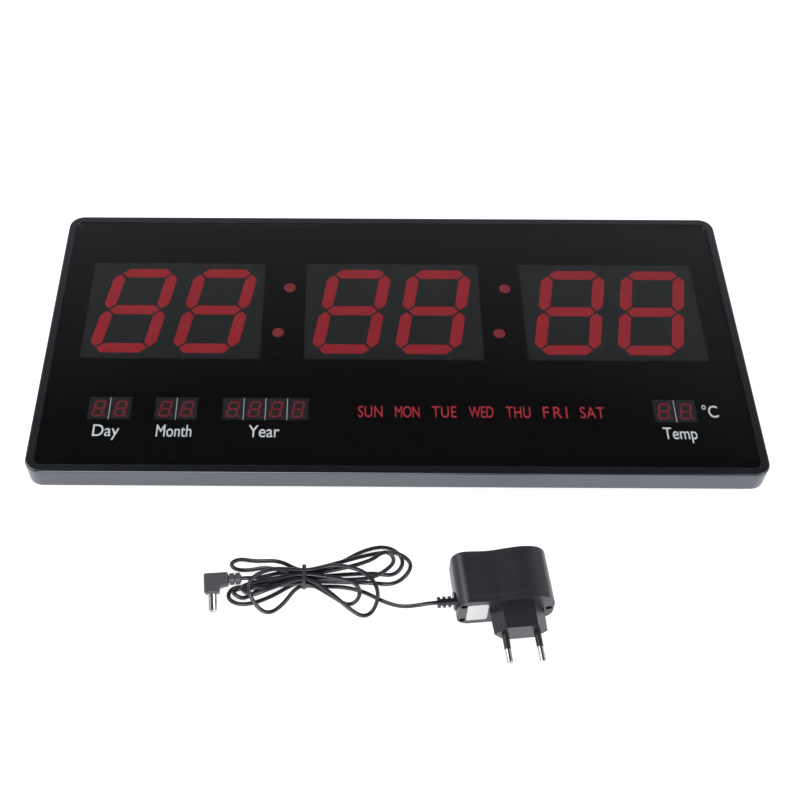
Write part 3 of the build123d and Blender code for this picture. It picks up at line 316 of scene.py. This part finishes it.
moulded, moulded_in, moulded_out = group_with(
    "moulded surface",
    (
        ("Colour", "NodeSocketColor", (0.02, 0.02, 0.02, 1)),
        ("Roughness", "NodeSocketFloat", 0.4),
        ("Grain Scale", "NodeSocketFloat", 1500.0),
        ("Grain Depth", "NodeSocketFloat", 0.1),
        ("Smudge", "NodeSocketFloat", 0.06),
        ("Edge Wear And Highlight", "NodeSocketFloat", 0.15),
    ),
    (
        ("Colour", "NodeSocketColor"),
        ("Roughness", "NodeSocketFloat"),
        ("Normal", "NodeSocketVector"),
    ),
)
given, made = moulded_in.outputs, moulded_out.inputs
place = moulded.nodes.new("ShaderNodeTexCoord").outputs["Object"]
smudges = noise(moulded, place, smudge_scale, 4.0)
grain = noise(moulded, place, given["Grain Scale"], 2.0)
rounded = moulded.nodes.new("ShaderNodeBevel")
rounded.samples = 4
rounded.inputs["Radius"].default_value = edge_wear_and_highlight_radius
flat = moulded.nodes.new("ShaderNodeNewGeometry")
facing = moulded.nodes.new("ShaderNodeVectorMath")
facing.operation = "DOT_PRODUCT"
# Where the rounded normal leaves the flat one, the colour is lightened: edge wear and painted
# edge highlight.
edge = maths(moulded, "SUBTRACT", 1.0, facing.outputs["Value"])
edge_range = moulded.nodes.new("ShaderNodeMapRange")
edge_range.inputs["From Min"].default_value = edge_wear_and_highlight_from
edge_range.inputs["From Max"].default_value = edge_wear_and_highlight_full
edge_wear_and_highlight_mask = maths(moulded, "MULTIPLY", edge_range.outputs["Result"], given["Edge Wear And Highlight"])
uneven = maths(moulded, "SUBTRACT", smudges, 0.5)
spread = maths(moulded, "MULTIPLY", uneven, given["Smudge"])
brightness = maths(moulded, "ADD", maths(moulded, "MULTIPLY", spread, 2.0), 1.0)
tone = moulded.nodes.new("ShaderNodeHueSaturation")
lighter = moulded.nodes.new("ShaderNodeMix")
lighter.data_type = "RGBA"
lighter.inputs["B"].default_value = edge_wear_and_highlight_colour
relief = moulded.nodes.new("ShaderNodeBump")
relief.inputs["Distance"].default_value = grain_height
join(
    moulded,
    (rounded.outputs["Normal"], facing.inputs[0]),
    (flat.outputs["Normal"], facing.inputs[1]),
    (edge, edge_range.inputs["Value"]),
    (given["Colour"], tone.inputs["Color"]),
    (brightness, tone.inputs["Value"]),
    (tone.outputs["Color"], lighter.inputs["A"]),
    (edge_wear_and_highlight_mask, lighter.inputs["Factor"]),
    (lighter.outputs["Result"], made["Colour"]),
    (maths(moulded, "ADD", given["Roughness"], spread), made["Roughness"]),
    (grain, relief.inputs["Height"]),
    (given["Grain Depth"], relief.inputs["Strength"]),
    (relief.outputs["Normal"], made["Normal"]),
)

# --- materials ---


def surface(name, colour, roughness, grain_depth, smudge, edge_wear_and_highlight_amount=0.0, metallic=0.0, specular=0.5):
    """A finish: a colour with its grain, smudges, and edges lightened towards grey, partly as
    wear and partly as a painted highlight.
    """
    material = bpy.data.materials.new(name)
    material.use_nodes = True
    tree = material.node_tree
    shader = tree.nodes["Principled BSDF"]
    shader.inputs["Metallic"].default_value = metallic
    shader.inputs["Specular IOR Level"].default_value = specular
    finish = tree.nodes.new("ShaderNodeGroup")
    finish.node_tree = moulded
    finish.inputs["Colour"].default_value = (*colour, 1)
    finish.inputs["Roughness"].default_value = roughness
    finish.inputs["Grain Depth"].default_value = grain_depth
    finish.inputs["Smudge"].default_value = smudge
    finish.inputs["Edge Wear And Highlight"].default_value = edge_wear_and_highlight_amount
    join(
        tree,
        (finish.outputs["Colour"], shader.inputs["Base Color"]),
        (finish.outputs["Roughness"], shader.inputs["Roughness"]),
        (finish.outputs["Normal"], shader.inputs["Normal"]),
    )
    return material


def smoked_glass(name):
    """The tinted sheet: clear to lamps, glossy and dark to look at."""
    material = bpy.data.materials.new(name)
    material.use_nodes = True
    tree = material.node_tree
    shader = tree.nodes["Principled BSDF"]
    shader.inputs["Base Color"].default_value = (0.82, 0.82, 0.84, 1)
    shader.inputs["Roughness"].default_value = 0.03
    shader.inputs["IOR"].default_value = 1.36
    shader.inputs["Transmission Weight"].default_value = 1.0
    clear = tree.nodes.new("ShaderNodeBsdfTransparent")
    light_path = tree.nodes.new("ShaderNodeLightPath")
    either = tree.nodes.new("ShaderNodeMixShader")
    join(
        tree,
        (light_path.outputs["Is Shadow Ray"], either.inputs["Fac"]),
        (shader.outputs["BSDF"], either.inputs[1]),
        (clear.outputs["BSDF"], either.inputs[2]),
        (either.outputs["Shader"], tree.nodes["Material Output"].inputs["Surface"]),
    )
    return material


# Each finish: colour, roughness, grain depth, smudge, then edge wear with painted edge
# highlight, metallic and specular level.
finish_values = {
    "case_black": ((0.005, 0.0053, 0.0065), 0.22, 0.02, 0.08, 0.08, 0.0, 1.0),
    "mask_black": ((0.003, 0.003, 0.0033), 0.5, 0.05, 0.05, 0.0, 0.0, 0.0),
    "cover_black": ((0.03, 0.03, 0.032), 0.6, 0.6, 0.08, 0.1),
    "screw_steel": ((0.55, 0.55, 0.56), 0.35, 0.1, 0.1, 0.0, 1.0),
    "board_green": ((0.02, 0.13, 0.05), 0.4, 0.1, 0.1),
    "module_face": ((0.017, 0.019, 0.0195), 0.55, 0.1, 0.1, 0.0, 0.0, 0.0),
    "segment_red": ((0.27, 0.02, 0.027), 0.4, 0.05, 0.12, 0.0, 0.0, 0.0),
    "small_module_face": ((0.02, 0.021, 0.023), 0.55, 0.1, 0.05, 0.0, 0.0, 0.0),
    "small_segment_red": ((0.17, 0.022, 0.03), 0.4, 0.05, 0.05, 0.0, 0.0, 0.0),
    "lamp_red": ((0.205, 0.025, 0.033), 0.4, 0.02, 0.1, 0.0, 0.0, 0.1),
    "light_box_white": ((0.8, 0.8, 0.78), 0.5, 0.05, 0.05),
    "led_yellow": ((0.8, 0.7, 0.3), 0.3, 0.05, 0.05),
    "chip_black": ((0.025, 0.025, 0.027), 0.6, 0.3, 0.05),
    "switch_black": ((0.03, 0.03, 0.03), 0.55, 0.2, 0.05),
    "button_grey": ((0.08, 0.08, 0.085), 0.5, 0.3, 0.06, 0.1),
    "cell_steel": ((0.6, 0.6, 0.6), 0.3, 0.1, 0.1, 0.0, 1.0),
    "capacitor_can": ((0.55, 0.56, 0.6), 0.3, 0.05, 0.1, 0.0, 1.0),
    "jack_black": ((0.02, 0.02, 0.02), 0.5, 0.2, 0.05),
    "pin_metal": ((0.62, 0.61, 0.6), 0.2, 0.0, 0.04, 0.0, 1.0),
    "connector_white": ((0.82, 0.8, 0.74), 0.5, 0.1, 0.05),
    "wire_red": ((0.5, 0.02, 0.02), 0.5, 0.1, 0.05),
    "wire_black": ((0.02, 0.02, 0.02), 0.5, 0.1, 0.05),
    "adapter_black": ((0.017, 0.0185, 0.0235), 0.36, 0.5, 0.08, 0.15, 0.0, 0.8),
    "screw_black": ((0.02, 0.02, 0.02), 0.35, 0.1, 0.06, 0.1, 0.6),
    "label_white": ((0.88, 0.88, 0.89), 0.45, 0.05, 0.04),
    "sleeve_black": ((0.02, 0.02, 0.022), 0.35, 0.1, 0.05, 0.05),
    "transformer_yellow": ((0.7, 0.55, 0.1), 0.4, 0.1, 0.1),
    "cord_black": ((0.009, 0.0093, 0.0115), 0.28, 0.2, 0.08, 0.0, 0.0, 0.9),
    "tie_black": ((0.035, 0.035, 0.038), 0.5, 0.2, 0.08),
    "plug_grey": ((0.07, 0.071, 0.082), 0.4, 0.4, 0.08, 0.15, 0.0, 0.6),
    "print_white": ((0.58, 0.62, 0.65), 0.5, 0.02, 0.03, 0.0, 0.0, 0.2),
    "print_red": ((0.35, 0.027, 0.037), 0.5, 0.02, 0.03, 0.0, 0.0, 0.2),
    "wall_grey": ((0.42, 0.43, 0.44), 0.5, 0.05, 0.05, 0.0, 0.0, 0.2),
}
finishes = {name: surface(name, *values) for name, values in finish_values.items()}
finishes["lens_smoked"] = smoked_glass("lens_smoked")

# Bluish tint painted into the reflections of these finishes: a painted reflection colour
# standing in for a bluish surround, not the plastic's own.
painted_blue_reflection_tints = {
    "case_black": (0.78, 0.83, 1.0, 1),
    "adapter_black": (0.86, 0.9, 1.0, 1),
    "cord_black": (0.86, 0.9, 1.0, 1),
    "plug_grey": (0.9, 0.93, 1.0, 1),
}
for slot, tint in painted_blue_reflection_tints.items():
    shader = finishes[slot].node_tree.nodes["Principled BSDF"]
    shader.inputs["Specular Tint"].default_value = tint
case_shader = finishes["case_black"].node_tree.nodes["Principled BSDF"]
case_shader.inputs["IOR"].default_value = 1.6

for row in frame["record"]["subparts"]:
    node = frame["nodes"][row["node"]]
    node.data.materials.clear()
    node.data.materials.append(finishes[row["material_slot"]])
cord_curve.materials.append(finishes["cord_black"])


def new_piece(name, mesh, finish):
    """A finished mesh as a piece that rides on the clock."""
    piece = bpy.data.objects.new(name, mesh)
    bpy.context.collection.objects.link(piece)
    mesh.materials.clear()
    mesh.materials.append(finishes[finish])
    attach(piece, "clock")
    return piece


def mesh_from(shape, name):
    """The bmesh as a mesh."""
    mesh = bpy.data.meshes.new(name)
    shape.to_mesh(mesh)
    shape.free()
    return mesh


def round_off(shape, edges, radius, segments):
    """Rounds the given edges."""
    bmesh.ops.bevel(
        shape,
        geom=edges,
        offset=radius,
        affect="EDGES",
        segments=segments,
        profile=0.5,
        material=-1,
    )


def add_block(shape, middle, size):
    """Adds a block to the shape."""
    verts = bmesh.ops.create_cube(shape, size=1.0)["verts"]
    bmesh.ops.scale(shape, vec=size, verts=verts)
    bmesh.ops.translate(shape, vec=middle, verts=verts)


# --- display sheet ---

lens_lift = 0.04 * MM
lens_corner = 4.5 * MM
lens_edge = 0.35 * MM
lens_low, lens_high = (Vector(corner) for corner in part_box("display_lens"))
lens_low.z += lens_lift
sheet = bmesh.new()
add_block(sheet, (lens_high + lens_low) / 2, lens_high - lens_low)
uprights = [e for e in sheet.edges if abs(e.verts[0].co.z - e.verts[1].co.z) > MM]
round_off(sheet, uprights, lens_corner, 6)
top_edges = [e for e in sheet.edges if all(v.co.z > lens_high.z - lens_lift for v in e.verts)]
round_off(sheet, top_edges, lens_edge, 3)
lens_sheet = new_piece("lens_sheet", mesh_from(sheet, "lens_sheet"), "lens_smoked")
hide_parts("display_lens")

# --- printed words ---

print_level = 22.76
print_thickness = 0.05
legend_height = 9.3
legend_bottom = -82.0
descender = 2.6
celsius_height = 9.9
celsius_bottom = -64.8
weekday_height = 9.0
weekday_bottom = -65.9
weekday_width = 15.6
weekday_first_x = -16.05
weekday_pitch = 23.55


def printed(name, words, left, right, bottom, height, ink, spacing=1.0):
    """Words as a thin print on the mask, filling the given width and height."""
    curve = bpy.data.curves.new(name, "FONT")
    curve.body = words
    curve.space_character = spacing
    curve.offset = 0.003
    curve.extrude = 0.02
    letters = bpy.data.objects.new(name + "_source", curve)
    bpy.context.collection.objects.link(letters)
    mesh = bpy.data.meshes.new_from_object(letters)
    bpy.data.objects.remove(letters)
    xs = [v.co.x for v in mesh.vertices]
    ys = [v.co.y for v in mesh.vertices]
    wide = (right - left) / (max(xs) - min(xs))
    tall = height / (max(ys) - min(ys))
    for v in mesh.vertices:
        v.co = (
            (left + (v.co.x - min(xs)) * wide) * MM,
            (bottom + (v.co.y - min(ys)) * tall) * MM,
            (print_level + (print_thickness if v.co.z > 0 else 0)) * MM,
        )
    new_piece(name, mesh, ink)


for words, left, right, drop in (
    ("Day", -191.2, -174.4, descender),
    ("Month", -151.1, -128.8, 0),
    ("Year", -92.9, -73.4, 0),
    ("Temp", 168.2, 189.3, descender),
):
    name = f"legend_{words.lower()}"
    printed(name, words, left, right, legend_bottom - drop, legend_height + drop, "print_white")
printed(
    "legend_celsius", "°C", 195.5, 205.4, celsius_bottom, celsius_height, "print_white"
)

weekday_words = (
    ("SUN", 1.05),
    ("MON", 0.95),
    ("TUE", 1.1),
    ("WED", 0.95),
    ("THU", 1.05),
    ("FRI", 1.35),
    ("SAT", 1.1),
)
for index, (word, spacing) in enumerate(weekday_words):
    left = weekday_first_x + index * weekday_pitch - weekday_width / 2
    right = left + weekday_width
    name = f"weekday_{word.lower()}"
    printed(name, word, left, right, weekday_bottom, weekday_height, "print_red", spacing)

# --- light module walls between neighbouring figures ---

wall_width = 0.45
wall_height = 17.4
wall_thickness = 0.1
wall_y = -59.5
small_pitch = 13.9
figure_rows = ((-182.6, 2), (-140.0, 2), (-83.0, 4), (178.3, 2))
wall_size = Vector((wall_width, wall_height, wall_thickness)) * MM
wall_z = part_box("calendar_modules")[1][2] + wall_thickness * MM
walls = bmesh.new()
for row_x, figures in figure_rows:
    for gap in range(1, figures):
        x = row_x + (gap - figures / 2) * small_pitch
        add_block(walls, Vector((x * MM, wall_y * MM, wall_z)), wall_size)
new_piece("module_walls", mesh_from(walls, "module_walls"), "wall_grey")

# --- tinted discs in the mask's colon holes ---

disc_diameter = 7.9
disc_bottom = 22.35
disc_top = 22.65
disc_middle = (disc_bottom + disc_top) / 2
disc_edge = 0.1 * MM
colon_columns = (-73.95, 73.95)
colon_centre_y = 24.1
colon_reach = 20.1
colon_lean = colon_reach * math.tan(math.radians(9.2))
discs = bmesh.new()
for column in colon_columns:
    for side in (-1, 1):
        disc_place = Vector(
            (column + side * colon_lean, colon_centre_y + side * colon_reach, disc_middle)
        )
        bmesh.ops.create_cone(
            discs,
            cap_ends=True,
            segments=40,
            radius1=disc_diameter / 2 * MM,
            radius2=disc_diameter / 2 * MM,
            depth=(disc_top - disc_bottom) * MM,
            matrix=Matrix.Translation(disc_place * MM),
        )
disc_rims = [e for e in discs.edges if all(v.co.z > disc_middle * MM for v in e.verts)]
round_off(discs, disc_rims, disc_edge, 2)
new_piece("colon_discs", mesh_from(discs, "colon_discs"), "lamp_red")

# --- floor ---

floor_reach = 2.5
floor_drop = 0.1 * MM
floor_glow = 0.75

floor_shape = bmesh.new()
bmesh.ops.create_grid(floor_shape, x_segments=1, y_segments=1, size=floor_reach)
bmesh.ops.translate(floor_shape, vec=(0, 0, cad_low[2] - floor_drop), verts=floor_shape.verts)
floor_mesh = mesh_from(floor_shape, "floor")
floor = bpy.data.objects.new("floor", floor_mesh)
bpy.context.collection.objects.link(floor)

floor_paper = bpy.data.materials.new("floor_paper")
floor_paper.use_nodes = True
floor_tree = floor_paper.node_tree
paper = floor_tree.nodes["Principled BSDF"]
paper.inputs["Base Color"].default_value = (0.8, 0.8, 0.8, 1)
paper.inputs["Roughness"].default_value = 0.9
paper.inputs["Specular IOR Level"].default_value = 0.0
paper.inputs["Emission Color"].default_value = (1, 1, 1, 1)
seen = floor_tree.nodes.new("ShaderNodeLightPath").outputs
seen_or_mirrored = maths(floor_tree, "MAXIMUM", seen["Is Camera Ray"], seen["Is Glossy Ray"])
glow = maths(floor_tree, "MULTIPLY", seen_or_mirrored, floor_glow)
join(floor_tree, (glow, paper.inputs["Emission Strength"]))
floor_mesh.materials.append(floor_paper)

# --- light ---

sky_on_surfaces = 0.3
sky_behind = 1.0
mirrored_low = 0.55
mirrored_high = 0.04
fade_from = 0.60
fade_to = 0.79

scene = bpy.context.scene
scene.view_settings.view_transform = "Standard"
sky = bpy.data.worlds.new("studio")
scene.world = sky
sky.use_nodes = True
sky_tree = sky.node_tree
sky_light = sky_tree.nodes["Background"]
sky_light.inputs["Color"].default_value = (1, 1, 1, 1)
sky_path = sky_tree.nodes.new("ShaderNodeLightPath").outputs
sky_way = sky_tree.nodes.new("ShaderNodeTexCoord")
sky_split = sky_tree.nodes.new("ShaderNodeSeparateXYZ")
sky_fade = sky_tree.nodes.new("ShaderNodeMapRange")
sky_fade.inputs["From Min"].default_value = fade_from
sky_fade.inputs["From Max"].default_value = fade_to
sky_fade.inputs["To Min"].default_value = mirrored_low
sky_fade.inputs["To Max"].default_value = mirrored_high
sky_glossy = sky_tree.nodes.new("ShaderNodeMix")
sky_glossy.inputs["A"].default_value = sky_on_surfaces
sky_seen = sky_tree.nodes.new("ShaderNodeMix")
sky_seen.inputs["B"].default_value = sky_behind
join(
    sky_tree,
    (sky_way.outputs["Generated"], sky_split.inputs[0]),
    (sky_split.outputs["Z"], sky_fade.inputs["Value"]),
    (sky_path["Is Glossy Ray"], sky_glossy.inputs["Factor"]),
    (sky_fade.outputs["Result"], sky_glossy.inputs["B"]),
    (sky_path["Is Camera Ray"], sky_seen.inputs["Factor"]),
    (sky_glossy.outputs["Result"], sky_seen.inputs["A"]),
    (sky_seen.outputs["Result"], sky_light.inputs["Strength"]),
)

lamps_face = Vector((0, -0.08, 0))


def soft_lamp(name, point, size, power):
    """A square soft lamp that faces the object's middle."""
    data = bpy.data.lights.new(name, "AREA")
    data.size = size
    data.energy = power
    lamp = bpy.data.objects.new(name, data)
    lamp.location = point
    lamp.rotation_euler = (lamps_face - Vector(point)).to_track_quat("-Z", "Y").to_euler()
    bpy.context.collection.objects.link(lamp)


soft_lamp("lamp_front", (-0.25, -1.3, 0.75), 0.7, 9.0)
soft_lamp("lamp_left", (-1.0, 0.1, 1.1), 0.8, 7.0)
soft_lamp("lamp_right", (1.0, -0.3, 1.1), 0.8, 6.0)

bpy.context.view_layer.update()
